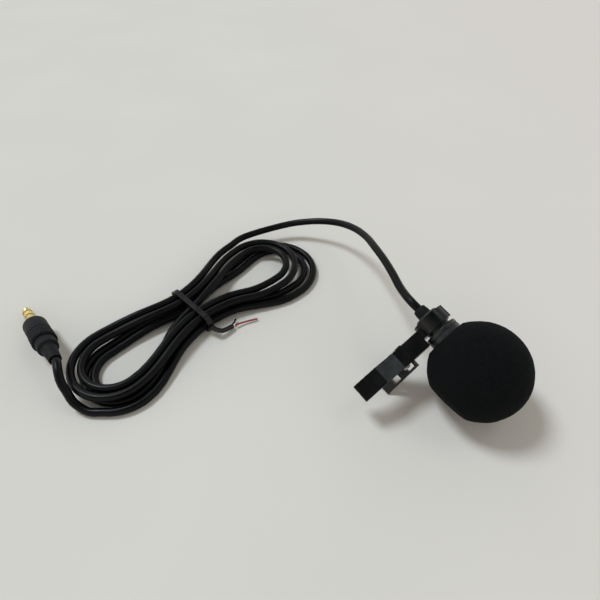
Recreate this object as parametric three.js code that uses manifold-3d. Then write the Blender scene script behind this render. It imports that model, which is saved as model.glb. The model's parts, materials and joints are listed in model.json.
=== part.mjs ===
// A lavalier microphone on its tie clip, with its foam windscreen, its hanked cable and its 3.5 mm plug.
// Millimetres, +Z up. The origin is on the table, under the middle of the microphone, clip and windscreen.
// The microphone lies along Y with its windscreen towards -Y, and the clip reaches towards -X.
import * as THREE from 'three';
import { mergeVertices } from 'three/addons/utils/BufferGeometryUtils.js';
import Module from 'manifold-3d';

const wasm = await Module();
wasm.setup();

// ---------------------------------------------------------------- driving dimensions
const gap = 0.1;                    // clearance between pieces that seat on each other
const softGap = 0.3;                // clearance around soft and hand-fitted pieces
const runGap = 0.08;                // radial running clearance of the hinge pin

const tilt = 14.6;                  // degrees that the tail is raised as the microphone lies
const clipSwing = 27;               // degrees that the clip hangs below level

const foamRadius = 15.2;
const foamFlatDepth = 0.5;          // flat that the windscreen rests on
const foamDrop = 0.88;              // the windscreen hangs this far below the microphone's axis
const foamMouthY = 13.5;            // rear face of the windscreen, from its centre
const foamStretchGap = 0.2;
const foamPressStart = 12.3;        // the soft ball is pressed flatter beyond this, on the clip's side
const foamPressEase = 0.7;
const foamPressWay = [-0.873, -0.048, -0.486];

const headRadius = 5.5;             // capsule housing
const headWall = 0.5;
const headFrontY = 0.4;             // front of the grille, from the windscreen's centre
const grilleThickness = 0.7;
const grilleRimLength = 0.75;
const grilleSkirtLength = 0.9;
const grilleSkirtWall = 0.3;
const grilleHoleRadius = 0.42;
const grilleRowPitch = 1.75;
const grilleRows = 2;
const feltThickness = 1.2;
const headRearY = 15;

const capsuleLength = 6.7;
const canWall = 0.3;
const canFrontWall = 0.4;
const canSoundHole = 1;
const canLip = 0.75;
const diaphragmRingWidth = 0.75;
const diaphragmRingHeight = 0.6;
const filmThickness = 0.1;
const spacerThickness = 0.15;
const backplateRadius = 4;
const backplateThickness = 0.45;
const backplateHoleRadius = 0.5;
const backplateHoleCircle = 2.2;
const backplateHoles = 4;
const holderWall = 0.85;
const boardThickness = 0.7;
const transistorWidth = 2.4;
const transistorDepth = 1.7;
const transistorHeight = 1.2;
const transistorLegLength = 0.45;
const transistorLegWidth = 0.35;
const transistorLegPitch = 0.7;
const gasketThickness = 1.5;
const gasketBore = 3;
const solderRadius = 0.7;
const solderHeight = 0.55;
const solderSpread = 1.8;

const neckLength = 3.5;             // rear housing's threaded neck inside the head
const neckWall = 0.8;
const flangeLength = 1.5;
const barrelRadius = 4;             // the stretch that the clip's ring holds
const barrelLength = 6.2;
const barrelBore = 3.1;
const barrelRearWall = 0.9;

const cableRadius = 1.4;
const bootRadius = 2.3;             // rubber strain relief at the microphone's tail
const bootEndRadius = 2.1;
const bootLength = 3.1;
const bootFlangeRadius = 2.9;
const bootFlangeLength = 1.3;
const bootBoreGap = 0.15;
const stubLength = 8.2;             // cable held inside the tail
const ferruleLength = 1.7;
const ferruleRadius = 2.4;
const leadRadius = 0.3;
const leadSpread = 0.7;

const ringGap = 0.12;               // clip ring to microphone barrel
const ringWall = 1.5;
const ringWidth = 4.4;
const ringSetback = 1;              // ring to the housing's flange
const ringMouthHalfAngle = 28;
const ringLipRadius = 0.75;
const armWidth = 5.8;
const armShift = 1.95;              // arms sit this much nearer the windscreen than the ring
const armThickness = 2;
const armTop = 3.4;                 // top face of the upper arm above the ring's centre line
const armStart = 6;                 // distances along the clip from the ring's centre
const armEnd = 32;
const padLength = 8.7;              // thumb pad at the end of the upper arm
const bendLength = 7.1;             // slope that raises the pad
const armRise = 3.15;
const armEndDrop = 0.9;
const ribHeight = 0.5;
const ribWidth = 0.9;
const ribPitch = 1.75;
const ribCount = 3;
const toothHeight = 0.4;
const toothPitch = 1.1;
const toothCount = 5;

const pinDistance = 15.5;
const pinRadius = 0.75;
const pinHeadRadius = 1.2;
const pinHeadThickness = 0.4;
const earRadius = 1.55;
const earThickness = 0.8;
const innerEarThickness = 0.6;

const jawGap = 0.3;
const jawThickness = 1.8;
const jawRearGap = 2.7;             // from the pin to the back of the jaw block
const handleSpread = 31.5;            // degrees between the two handles
const handleLength = 12.6;          // lower handle, from the pin
const handleFrontFlare = 2;         // the handle stands this far out beyond the arm's two sides
const handleRearFlare = 0.8;
const handleFlareStart = -2.2;
const handleThickness = 1.3;
const handleHoleLength = 3;
const handleHoleWidth = 2.1;
const handleHoles = [0.2, 6.7];     // distances of the holes from the pin
const handleHoleShift = 3.05;      // the holes are this much nearer the windscreen than the arm

const wireRadius = 0.3;             // clip spring
const coilRadius = 1.35;
const coilTurns = 2.5;
const coilPitch = 0.75;
const springLegLength = 7;
const springSeatGap = 0.15;

const plugX = -87.2;                // where the plug's shoulder lies on the table
const plugY = 113.5;
const plugTilt = 12.9;              // degrees that its nose points down
const plugPinRadius = 1.75;         // 3.5 mm plug
const plugPinLength = 14;
const plugTipLength = 3.9;
const plugRingLength = 2.6;
const plugCollarThickness = 0.45;
const plugWallGap = 0.1;
const plugRodRadius = 0.45;
const plugTubeRadius = 0.95;
const plugSleeveWall = 0.55;
const plugBarrelRadius = 4.1;
const plugBarrelLength = 14;
const plugBarrelWall = 0.9;
const plugBarrelFront = 1.2;
const plugFlangeRadius = 2.9;
const plugBootLength = 12.5;
const plugBootRadius = 3.4;
const plugBootEndRadius = 1.95;
const plugBootHeld = 1.4;           // length of the boot's collar inside the barrel
const plugStubLength = 17.2;

const endGap = 0.3;                 // between a cable's end and what it meets
const hankX = -36.45;               // middle of the hank on the table
const hankY = 83.1;
const hankTurn = 4.8;               // degrees that the hank is turned from X
const hankHalfLength = 51.6;        // of the outermost loop's centre line
const hankLeftRadius = 15.4;        // outermost fold at each end
const hankRightRadius = 17.6;
const hankWaist = 8.7;              // outermost loop's half width under the tie
const waistX = -4;                  // the tie is this far from the hank's middle
const loopStepLeft = 3.34;          // how far each loop lies inside the last
const loopStepRight = 4;
const loopStepWaist = 3.4;
const loopStepEnd = 3.45;
const layerHeight = 3.25;
const hankBase = 1.45;              // centre of the lower layer above the table
const waistLift = 0.9;
const liftStart = 12;               // distances from the tie over which the lift dies away
const liftEnd = 28;
const upperShift = { left: -0.8, right: 0 };    // how far the folds of each layer lie to the near side
const lowerShift = { left: -3.3, right: -4 };
const upperShortfall = 4.5;         // the upper layer's right fold stops this far short of the lower one's
const shiftStart = 10;              // distances from the tie between which the layers part
const shiftEnd = 32;
const dropPhase = 0.27;             // where along a loop the cable crosses under the tie
const dropShare = 0.1;              // share of a turn over which it comes down a layer
const hankWholeTurns = 4;
const loopSteps = 24;
const foldSteps = 7;
// Where the microphone's run joins on the right fold, and where the plug's lead leaves the left one.
// Both fall half way between two steps' ends, which keeps the steps of all loops side by side.
const hankStartAngle = 90;
const hankEndAngle = 180 - 1.5 * (180 / foldSteps);

const tieWidth = 2;
const tieThickness = 0.5;
const tieCorner = 2.6;
const tieSlack = 0.5;               // room at each side for the straight steps of the hank
const twistRadius = 0.9;
const twistLength = 8;
const twistDrop = 2.6;              // from the band's middle height down towards the table
const tieWireRadius = 0.35;

// ---------------------------------------------------------------- finishes
const finish = (color, roughness, metalness) =>
  new THREE.MeshStandardMaterial({ color, roughness, metalness });

const foam = finish(0x17181a, 0.98, 0);
const blackPlastic = finish(0x232426, 0.5, 0);
const darkMetal = finish(0x3a3c3e, 0.42, 0.6);
const rubber = finish(0x2c2d2f, 0.75, 0);
const steel = finish(0xb9bbbd, 0.3, 1);
const aluminium = finish(0xc5c7c9, 0.4, 1);
const brass = finish(0xc7a35a, 0.35, 1);
const felt = finish(0x1c1c1e, 1, 0);
const paleFilm = finish(0xd8d8cf, 0.3, 0.2);
const whitePlastic = finish(0xd9d9d4, 0.6, 0);
const greenBoard = finish(0x2f6b3f, 0.6, 0);
const solder = finish(0xbfc1c2, 0.35, 0.9);
const redSleeve = finish(0x8c2f2a, 0.6, 0);
const bareCopper = finish(0xb87449, 0.4, 0.9);

// ---------------------------------------------------------------- shared shape helpers
const degrees = THREE.MathUtils.degToRad;

function piece(name, geometry, material) {
  const mesh = new THREE.Mesh(geometry, material);
  mesh.name = name;
  return mesh;
}

// A turned piece about the Y axis. The outline is a list of [radius, y], closed by itself
// or, where it starts and ends on the axis, by the axis.
function turned(outline, segments = 32) {
  const points = outline.map(([radius, y]) => new THREE.Vector2(radius, y));
  const onAxis = points[0].x === 0 && points[points.length - 1].x === 0;
  if (!onAxis) {
    points.push(points[0].clone());
  }
  const area = points.reduce((sum, p, i) => {
    const q = points[(i + 1) % points.length];
    return sum + p.x * q.y - q.x * p.y;
  }, 0);
  if (area < 0) {
    points.reverse();
  }
  return new THREE.LatheGeometry(points, segments);
}

function solidOf(geometry) {
  const bare = geometry.index ? geometry.toNonIndexed() : geometry.clone();
  bare.deleteAttribute('normal');
  bare.deleteAttribute('uv');
  const merged = mergeVertices(bare, 1e-5);
  return new wasm.Manifold(new wasm.Mesh({
    numProp: 3,
    vertProperties: merged.attributes.position.array,
    triVerts: merged.index.array,
  }));
}

function geometryOf(solid) {
  const mesh = solid.getMesh();
  const geometry = new THREE.BufferGeometry();
  geometry.setAttribute('position', new THREE.BufferAttribute(mesh.vertProperties, 3));
  geometry.setIndex(new THREE.BufferAttribute(mesh.triVerts, 1));
  geometry.computeVertexNormals();
  return geometry;
}

const join = (...geometries) =>
  geometryOf(geometries.map(solidOf).reduce((whole, part) => whole.add(part)));

const cut = (geometry, ...tools) =>
  geometryOf(tools.map(solidOf).reduce((left, tool) => left.subtract(tool), solidOf(geometry)));

function block(x0, x1, y0, y1, z0, z1) {
  const box = new THREE.BoxGeometry(x1 - x0, y1 - y0, z1 - z0);
  return box.translate((x0 + x1) / 2, (y0 + y1) / 2, (z0 + z1) / 2);
}

// A rod along Y between two Y values.
function rod(radius, y0, y1, segments = 16, x = 0, z = 0) {
  const cylinder = new THREE.CylinderGeometry(radius, radius, y1 - y0, segments);
  return cylinder.translate(x, (y0 + y1) / 2, z);
}

// A flat outline drawn in X and Z, as [x, z] points or a Shape, thickened from y0 to y1.
function slab(outline, y0, y1) {
  const shape = outline instanceof THREE.Shape
    ? outline
    : new THREE.Shape(outline.map(([x, z]) => new THREE.Vector2(x, z)));
  const geometry = new THREE.ExtrudeGeometry(shape, {
    depth: y1 - y0,
    bevelEnabled: false,
    curveSegments: 8,
  });
  return geometry.rotateX(Math.PI / 2).translate(0, y1, 0);
}

// A round bar along a curve. ExtrudeGeometry closes both of its ends.
function bar(points, radius, sides, steps) {
  const section = new THREE.Shape();
  for (let i = 0; i < sides; i += 1) {
    const angle = (2 * Math.PI * (i + 0.5)) / sides;
    const place = [radius * Math.cos(angle), radius * Math.sin(angle)];
    if (i === 0) {
      section.moveTo(...place);
    } else {
      section.lineTo(...place);
    }
  }
  const path = new THREE.CatmullRomCurve3(points, false, 'centripetal');
  return new THREE.ExtrudeGeometry(section, { steps, extrudePath: path });
}

const vector = (x, y, z) => new THREE.Vector3(x, y, z);

// A round tube through the given points, one ring of the section at each, both ends closed.
function swept(points, radius, sides) {
  const corners = [];
  const faces = [];
  const last = points.length - 1;
  let across = null;
  points.forEach((point, i) => {
    const back = point.clone().sub(points[Math.max(i - 1, 0)]).normalize();
    const ahead = points[Math.min(i + 1, last)].clone().sub(point).normalize();
    const along = back.add(ahead).normalize();
    if (across === null) {
      across = Math.abs(along.z) < 0.9 ? vector(0, 0, 1).cross(along) : vector(1, 0, 0);
    }
    across = across.clone().addScaledVector(along, -across.dot(along)).normalize();
    const up = along.clone().cross(across);
    for (let side = 0; side < sides; side += 1) {
      const angle = (2 * Math.PI * side) / sides;
      const corner = point.clone()
        .addScaledVector(across, radius * Math.cos(angle))
        .addScaledVector(up, radius * Math.sin(angle));
      corners.push(corner.x, corner.y, corner.z);
    }
  });
  for (let i = 0; i < last; i += 1) {
    for (let side = 0; side < sides; side += 1) {
      const next = (side + 1) % sides;
      const a = i * sides + side;
      const b = i * sides + next;
      faces.push(a, b, a + sides, b, b + sides, a + sides);
    }
  }
  for (let side = 1; side < sides - 1; side += 1) {
    const end = last * sides;
    faces.push(0, side + 1, side);
    faces.push(end, end + side, end + side + 1);
  }
  const geometry = new THREE.BufferGeometry();
  geometry.setAttribute('position', new THREE.Float32BufferAttribute(corners, 3));
  geometry.setIndex(faces);
  geometry.computeVertexNormals();
  return geometry;
}

// ---------------------------------------------------------------- microphone head
// Everything here is turned about the microphone's own axis, which runs along Y.
const headBore = headRadius - headWall;
const grillePlateY = headFrontY + grilleThickness;
const grilleRimY = grillePlateY + grilleRimLength;
const headShellFrontY = grilleRimY + gap;
const grilleSkirtOuter = headBore - gap;
const grilleSkirtInner = grilleSkirtOuter - grilleSkirtWall;
const grilleSkirtY = grilleRimY + grilleSkirtLength;
const capsuleFrontY = grilleSkirtY + softGap;
const capsuleRearY = capsuleFrontY + capsuleLength;
const canRadius = headBore - gap - 0.05;
const capsuleBore = canRadius - canWall - gap;

// Moves the points of a ball that lie furthest along the pressed side back towards its centre.
function pressed(geometry) {
  const way = vector(...foamPressWay).normalize();
  const places = geometry.attributes.position;
  for (let i = 0; i < places.count; i += 1) {
    const point = vector(places.getX(i), places.getY(i), places.getZ(i));
    const beyond = Math.max(0, point.dot(way) - foamPressStart);
    point.addScaledVector(way, -(beyond ** 2) / (beyond + foamPressEase));
    places.setXYZ(i, point.x, point.y, point.z);
  }
  return geometry;
}

function makeFoam() {
  const boreRadius = headRadius + foamStretchGap;
  const boreFrontY = headFrontY - softGap;
  const steps = 22;
  const outline = [[0, -foamRadius]];
  for (let i = 1; i < steps; i += 1) {
    const angle = Math.PI * (1 - i / steps);
    outline.push([foamRadius * Math.sin(angle), foamRadius * Math.cos(angle)]);
  }
  outline.push([0, foamRadius]);
  const ball = pressed(turned(outline, 32)).translate(0, 0, -foamDrop);
  const reach = 2 * foamRadius;
  const mouth = block(-reach, reach, foamMouthY, reach, -reach, reach);
  const bore = rod(boreRadius, boreFrontY, reach, 32);
  const table = block(-reach, reach, -reach, reach, -reach, foamFlatDepth - foamRadius);
  table.rotateX(-degrees(tilt)).translate(0, 0, -foamDrop);
  return piece('foam_windscreen', cut(ball, mouth, bore, table), foam);
}

function makeGrille() {
  const cap = turned([
    [0, headFrontY],
    [headRadius - 0.4, headFrontY],
    [headRadius, headFrontY + 0.4],
    [headRadius, grilleRimY],
    [grilleSkirtOuter, grilleRimY],
    [grilleSkirtOuter, grilleSkirtY],
    [grilleSkirtInner, grilleSkirtY],
    [grilleSkirtInner, grillePlateY],
    [0, grillePlateY],
  ]);
  const holes = [];
  for (let row = 0; row <= grilleRows; row += 1) {
    const count = row === 0 ? 1 : 6 * row;
    for (let i = 0; i < count; i += 1) {
      const angle = (2 * Math.PI * i) / count;
      const x = row * grilleRowPitch * Math.cos(angle);
      const z = row * grilleRowPitch * Math.sin(angle);
      holes.push(rod(grilleHoleRadius, headFrontY - 1, grillePlateY + 0.5, 8, x, z));
    }
  }
  return piece('head_grille', cut(cap, ...holes), darkMetal);
}

function makeHead() {
  const feltFrontY = grillePlateY + gap;
  return [
    makeGrille(),
    piece('acoustic_felt', turned([
      [0, feltFrontY],
      [grilleSkirtInner - gap, feltFrontY],
      [grilleSkirtInner - gap, feltFrontY + feltThickness],
      [0, feltFrontY + feltThickness],
    ]), felt),
    piece('head_shell', turned([
      [headBore, headShellFrontY],
      [headRadius, headShellFrontY],
      [headRadius, headRearY],
      [headBore, headRearY],
    ]), darkMetal),
  ];
}

// ---------------------------------------------------------------- electret capsule
const diaphragmFrontY = capsuleFrontY + canFrontWall + gap;
const filmY = diaphragmFrontY + diaphragmRingHeight;
const spacerY = filmY + filmThickness + gap;
const holderFrontY = spacerY + spacerThickness + gap;
const boardRearY = capsuleRearY - canWall - gap;
const boardFrontY = boardRearY - boardThickness;
const holderRearY = boardFrontY - gap;

function makeBackplate() {
  const shape = new THREE.Shape();
  shape.absarc(0, 0, backplateRadius, 0, 2 * Math.PI);
  for (let i = 0; i < backplateHoles; i += 1) {
    const angle = (2 * Math.PI * i) / backplateHoles;
    const hole = new THREE.Path();
    const x = backplateHoleCircle * Math.cos(angle);
    const z = backplateHoleCircle * Math.sin(angle);
    hole.absarc(x, z, backplateHoleRadius, 0, 2 * Math.PI, true);
    shape.holes.push(hole);
  }
  return piece('backplate', slab(shape, holderFrontY, holderFrontY + backplateThickness), brass);
}

function makeTransistor() {
  const rear = boardFrontY - gap;
  const front = rear - transistorLegLength - transistorHeight;
  const half = transistorWidth / 2;
  const body = slab([
    [-half, -transistorDepth / 2],
    [half, -transistorDepth / 2],
    [half, transistorDepth / 6],
    [half / 2, transistorDepth / 2],
    [-half / 2, transistorDepth / 2],
    [-half, transistorDepth / 6],
  ], front, rear - transistorLegLength);
  const legs = [-1, 0, 1].map((side) => {
    const x = side * transistorLegPitch;
    const w = transistorLegWidth / 2;
    return block(x - w, x + w, rear - transistorLegLength - 0.2, rear, -w, w);
  });
  return piece('jfet_transistor', join(body, ...legs), blackPlastic);
}

function makeCapsule() {
  const lipRadius = canRadius - canLip;
  return [
    piece('capsule_can', turned([
      [canSoundHole, capsuleFrontY],
      [canRadius, capsuleFrontY],
      [canRadius, capsuleRearY],
      [lipRadius, capsuleRearY],
      [lipRadius, capsuleRearY - canWall],
      [canRadius - canWall, capsuleRearY - canWall],
      [canRadius - canWall, capsuleFrontY + canFrontWall],
      [canSoundHole, capsuleFrontY + canFrontWall],
    ]), aluminium),
    piece('diaphragm', turned([
      [0, filmY],
      [capsuleBore - diaphragmRingWidth, filmY],
      [capsuleBore - diaphragmRingWidth, diaphragmFrontY],
      [capsuleBore, diaphragmFrontY],
      [capsuleBore, filmY + filmThickness],
      [0, filmY + filmThickness],
    ]), paleFilm),
    piece('spacer_ring', turned([
      [capsuleBore - diaphragmRingWidth, spacerY],
      [capsuleBore, spacerY],
      [capsuleBore, spacerY + spacerThickness],
      [capsuleBore - diaphragmRingWidth, spacerY + spacerThickness],
    ]), whitePlastic),
    makeBackplate(),
    piece('backplate_holder', turned([
      [backplateRadius + gap, holderFrontY],
      [capsuleBore, holderFrontY],
      [capsuleBore, holderRearY],
      [capsuleBore - holderWall, holderRearY],
      [capsuleBore - holderWall, holderFrontY + backplateThickness + gap],
      [backplateRadius + gap, holderFrontY + backplateThickness + gap],
    ]), whitePlastic),
    makeTransistor(),
    piece('capsule_board', turned([
      [0, boardFrontY],
      [capsuleBore, boardFrontY],
      [capsuleBore, boardRearY],
      [0, boardRearY],
    ]), greenBoard),
  ];
}

// ---------------------------------------------------------------- rear housing and tail
const gasketFrontY = capsuleRearY + gap;
const neckFrontY = headRearY - neckLength;
const flangeFrontY = headRearY + gap;
const flangeRearY = flangeFrontY + flangeLength;
const barrelRearY = flangeRearY + barrelLength;
const bootFlangeRearY = barrelRearY - barrelRearWall - gap;
const tailEndY = barrelRearY + bootLength;
const stubFrontY = tailEndY - stubLength;
const solderRearY = boardRearY + gap + solderHeight;

function makeSolder(name, side) {
  const base = boardRearY + gap;
  const dome = turned([
    [0, base],
    [solderRadius, base],
    [solderRadius * 0.8, base + solderHeight * 0.6],
    [solderRadius * 0.4, base + solderHeight],
    [0, base + solderHeight],
  ], 12).translate(side * solderSpread, 0, 0);
  return piece(name, dome, solder);
}

function makeLead(name, side, material) {
  const from = solderRearY + gap;
  const to = stubFrontY - gap;
  const middle = (from + to) / 2;
  const lead = bar([
    vector(side * solderSpread, from, 0),
    vector(side * solderSpread, from + 1.2, 0),
    vector(side * (solderSpread + leadSpread) / 2, middle, 0.3),
    vector(side * leadSpread, to - 1.2, 0),
    vector(side * leadSpread, to, 0),
  ], leadRadius, 8, 8);
  return piece(name, lead, material);
}

function makeTail() {
  const boreRadius = cableRadius + bootBoreGap;
  const holeRadius = bootRadius + bootBoreGap;
  const neckOuter = headBore - gap;
  return [
    piece('rear_gasket', turned([
      [gasketBore, gasketFrontY],
      [canRadius, gasketFrontY],
      [canRadius, gasketFrontY + gasketThickness],
      [gasketBore, gasketFrontY + gasketThickness],
    ]), rubber),
    piece('rear_housing', turned([
      [neckOuter - neckWall, neckFrontY],
      [neckOuter, neckFrontY],
      [neckOuter, flangeFrontY],
      [headRadius, flangeFrontY],
      [headRadius, flangeRearY - 0.3],
      [headRadius - 0.3, flangeRearY],
      [barrelRadius, flangeRearY],
      [barrelRadius, barrelRearY - 0.3],
      [barrelRadius - 0.3, barrelRearY],
      [holeRadius, barrelRearY],
      [holeRadius, barrelRearY - barrelRearWall],
      [barrelBore, barrelRearY - barrelRearWall],
      [barrelBore, flangeRearY - 0.6],
      [neckOuter - neckWall, flangeFrontY + 0.2],
    ]), darkMetal),
    piece('cable_ferrule', turned([
      [boreRadius, stubFrontY + 0.4],
      [ferruleRadius, stubFrontY + 0.4],
      [ferruleRadius, stubFrontY + 0.4 + ferruleLength],
      [boreRadius, stubFrontY + 0.4 + ferruleLength],
    ], 24), brass),
    piece('strain_relief', turned([
      [boreRadius, bootFlangeRearY - bootFlangeLength],
      [bootFlangeRadius, bootFlangeRearY - bootFlangeLength],
      [bootFlangeRadius, bootFlangeRearY],
      [bootRadius, bootFlangeRearY],
      [bootRadius, barrelRearY + 0.4 * bootLength],
      [bootEndRadius, tailEndY - 0.3],
      [bootEndRadius - 0.3, tailEndY],
      [boreRadius, tailEndY],
    ], 24), rubber),
    piece('cable_end_in_tail', rod(cableRadius, stubFrontY, tailEndY, 16), rubber),
    makeSolder('signal_solder_joint', 1),
    makeSolder('ground_solder_joint', -1),
    makeLead('signal_lead', 1, redSleeve),
    makeLead('ground_lead', -1, bareCopper),
  ];
}

// ---------------------------------------------------------------- tie clip
// Drawn in X and Z about the microphone's axis: -X runs out along the clip, +Z is its upper side.
const ringBore = barrelRadius + ringGap;
const ringOuter = ringBore + ringWall;
const ringFrontY = flangeRearY + ringSetback;
const ringRearY = ringFrontY + ringWidth;
const armMiddleY = (ringFrontY + ringRearY) / 2 - armShift;
const armFrontY = armMiddleY - armWidth / 2;
const armRearY = armMiddleY + armWidth / 2;
const armUnder = armTop - armThickness;
const armBendEnd = armEnd - padLength;
const armBendStart = armBendEnd - bendLength;
const handleUnder = armUnder + armRise;
const jawTop = armUnder - jawGap;
const pinX = -pinDistance;
const coilOuter = coilRadius + wireRadius;
const pinHeight = armUnder - springSeatGap - coilOuter;
const plateTop = coilOuter + springSeatGap;       // lower handle's upper face, below the pin
const coilHalfLength = (coilTurns * coilPitch) / 2 + wireRadius;
const innerEarNear = coilHalfLength + gap;
const innerEarFar = innerEarNear + innerEarThickness;

function makeRing() {
  const shape = new THREE.Shape();
  const start = degrees(ringMouthHalfAngle);
  const end = 2 * Math.PI - start;
  shape.absarc(0, 0, ringOuter, start, end, false);
  shape.absarc(0, 0, ringBore, end, start, true);
  const lipMiddle = (ringOuter + ringBore) / 2 + 0.25;
  const lips = [start, end].map((angle) => rod(
    ringLipRadius,
    ringFrontY,
    ringRearY,
    12,
    lipMiddle * Math.cos(angle),
    lipMiddle * Math.sin(angle),
  ));
  const hoop = new THREE.ExtrudeGeometry(shape, {
    depth: ringWidth,
    bevelEnabled: false,
    curveSegments: 28,
  }).rotateX(Math.PI / 2).translate(0, ringRearY, 0);
  return cut(join(hoop, ...lips), rod(ringBore, ringFrontY - 1, ringRearY + 1, 56));
}

function makeUpperArm() {
  const neck = slab([
    [-ringBore - 0.5, armTop - 0.2],
    [-armStart - 1, armTop - 0.2],
    [-armStart - 1, armUnder],
    [-ringBore - 0.5, armUnder - 1],
  ], ringFrontY, armRearY > ringRearY ? ringRearY : armRearY);
  const arm = slab([
    [-armStart, armTop - 0.4],
    [-armStart - 0.4, armTop],
    [-armBendStart, armTop],
    [-armBendEnd, armTop + armRise],
    [-armEnd + 0.4, armTop + armRise],
    [-armEnd, armTop + armRise - 0.4],
    [-armEnd, handleUnder - armEndDrop],
    [-armEnd + 2, handleUnder - armEndDrop],
    [-armEnd + 2.8, handleUnder],
    [-armBendEnd - 0.6, handleUnder],
    [-armBendStart - 0.6, armUnder],
    [-armStart, armUnder],
  ], armFrontY, armRearY);
  const ribs = [];
  for (let i = 0; i < ribCount; i += 1) {
    const x = -armEnd + 1.4 + i * ribPitch;
    const z = armTop + armRise;
    ribs.push(slab([
      [x - ribWidth / 2, z - 0.2],
      [x + ribWidth / 2, z - 0.2],
      [x + ribWidth / 4, z + ribHeight],
      [x - ribWidth / 4, z + ribHeight],
    ], armFrontY, armRearY));
  }
  const ears = [armFrontY, armRearY - earThickness].flatMap((y) => [
    rod(earRadius, y, y + earThickness, 20, pinX, pinHeight),
    block(pinX - earRadius, pinX + earRadius, y, y + earThickness, pinHeight, armUnder + 0.3),
  ]);
  const bite = [];
  for (let i = 0; i < toothCount; i += 1) {
    const x = -armStart - 0.7 - i * toothPitch;
    bite.push(slab([
      [x - toothPitch * 0.35, armUnder - 0.1],
      [x + toothPitch * 0.35, armUnder - 0.1],
      [x, armUnder + toothHeight],
    ], armFrontY - 1, armRearY + 1));
  }
  const whole = join(makeRing(), neck, arm, ...ribs, ...ears);
  const pinHole = rod(pinRadius + runGap, armFrontY - 1, armRearY + 1, 20, pinX, pinHeight);
  return piece('clip_upper_arm', cut(whole, pinHole, ...bite), blackPlastic);
}

// The lower arm is drawn about the pin: its jaw lies along the clip and its handle drops away.
const spread = degrees(handleSpread);
const alongHandle = (distance, below) => [
  pinX - distance * Math.cos(spread) + below * Math.sin(spread),
  pinHeight - distance * Math.sin(spread) - below * Math.cos(spread),
];

function makeLowerArm() {
  const jawFront = -armStart - jawGap;
  const jawUnder = jawTop - jawThickness;
  const top = plateTop;
  const under = plateTop + handleThickness;
  const plate = slab([
    [jawFront, jawTop],
    [pinX + jawRearGap, jawTop],
    [pinX + jawRearGap, jawUnder],
    alongHandle(-1, top),
    alongHandle(handleLength, top),
    alongHandle(handleLength, under - 0.6),
    alongHandle(handleLength - 0.6, under),
    alongHandle(-1.6, under),
    [jawFront - 2, jawUnder],
    [jawFront, jawUnder + 0.5],
  ], armFrontY, armRearY);
  const handle = slab([
    alongHandle(handleFlareStart, top),
    alongHandle(handleLength, top),
    alongHandle(handleLength, under - 0.6),
    alongHandle(handleLength - 0.6, under),
    alongHandle(handleFlareStart, under),
  ], armFrontY - handleFrontFlare, armRearY + handleRearFlare);
  const ears = [armMiddleY - innerEarFar, armMiddleY + innerEarNear].flatMap((y) => [
    rod(earRadius, y, y + innerEarThickness, 20, pinX, pinHeight),
    slab([
      alongHandle(-earRadius, 0),
      alongHandle(earRadius, 0),
      alongHandle(earRadius, top + 0.3),
      alongHandle(-earRadius, top + 0.3),
    ], y, y + innerEarThickness),
  ]);
  const holes = handleHoles.map((distance) => {
    const half = handleHoleLength / 2;
    const middle = armMiddleY - handleHoleShift;
    return slab([
      alongHandle(distance - half, top - 1),
      alongHandle(distance + half, top - 1),
      alongHandle(distance + half, under + 1),
      alongHandle(distance - half, under + 1),
    ], middle - handleHoleWidth / 2, middle + handleHoleWidth / 2);
  });
  const bite = [];
  for (let i = 0; i < toothCount; i += 1) {
    const x = -armStart - 1.2 - i * toothPitch;
    bite.push(slab([
      [x, jawTop - toothHeight],
      [x + toothPitch * 0.35, jawTop + 0.1],
      [x - toothPitch * 0.35, jawTop + 0.1],
    ], armFrontY - 1, armRearY + 1));
  }
  const pinHole = rod(pinRadius + runGap, armFrontY - 1, armRearY + 1, 20, pinX, pinHeight);
  return piece(
    'clip_lower_arm',
    cut(join(plate, handle, ...ears), pinHole, ...holes, ...bite),
    blackPlastic,
  );
}

function makePin() {
  const front = armFrontY - gap;
  const rear = armRearY + gap;
  const pin = turned([
    [0, front - pinHeadThickness],
    [pinHeadRadius * 0.7, front - pinHeadThickness],
    [pinHeadRadius, front - pinHeadThickness / 2],
    [pinHeadRadius, front],
    [pinRadius, front],
    [pinRadius, rear],
    [pinHeadRadius, rear],
    [pinHeadRadius, rear + pinHeadThickness / 2],
    [pinHeadRadius * 0.7, rear + pinHeadThickness],
    [0, rear + pinHeadThickness],
  ], 20).translate(pinX, 0, pinHeight);
  return piece('clip_hinge_pin', pin, steel);
}

// A torsion coil round the pin. One leg runs out under the upper arm, the other over the lower one.
function makeSpring() {
  const points = [];
  const lowerAngle = degrees(-90) + spread;
  const total = 2 * Math.PI * coilTurns - spread;
  const coilSteps = Math.round(coilTurns * 8);
  const place = (angle, y, radius = coilRadius) => vector(
    pinX + radius * Math.cos(angle),
    armMiddleY + y,
    pinHeight + radius * Math.sin(angle),
  );
  const firstY = coilTurns * coilPitch / 2;
  const start = place(lowerAngle, firstY);
  const legAlong = (length, x, z) => vector(x * length, 0, z * length);
  const lowerX = -Math.cos(spread);
  const lowerZ = -Math.sin(spread);
  points.push(start.clone().add(legAlong(springLegLength, lowerX, lowerZ)));
  points.push(start.clone().add(legAlong(springLegLength / 2, lowerX, lowerZ)));
  points.push(start.clone().add(legAlong(1, lowerX, lowerZ)));
  for (let i = 0; i <= coilSteps; i += 1) {
    const share = i / coilSteps;
    points.push(place(lowerAngle + total * share, firstY - coilTurns * coilPitch * share));
  }
  const end = points[points.length - 1];
  points.push(end.clone().add(legAlong(1, -1, 0)));
  points.push(end.clone().add(legAlong(springLegLength / 2, -1, 0)));
  points.push(end.clone().add(legAlong(springLegLength - 2, -1, 0)));
  return piece('clip_spring', swept(points, wireRadius, 5), steel);
}

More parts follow.
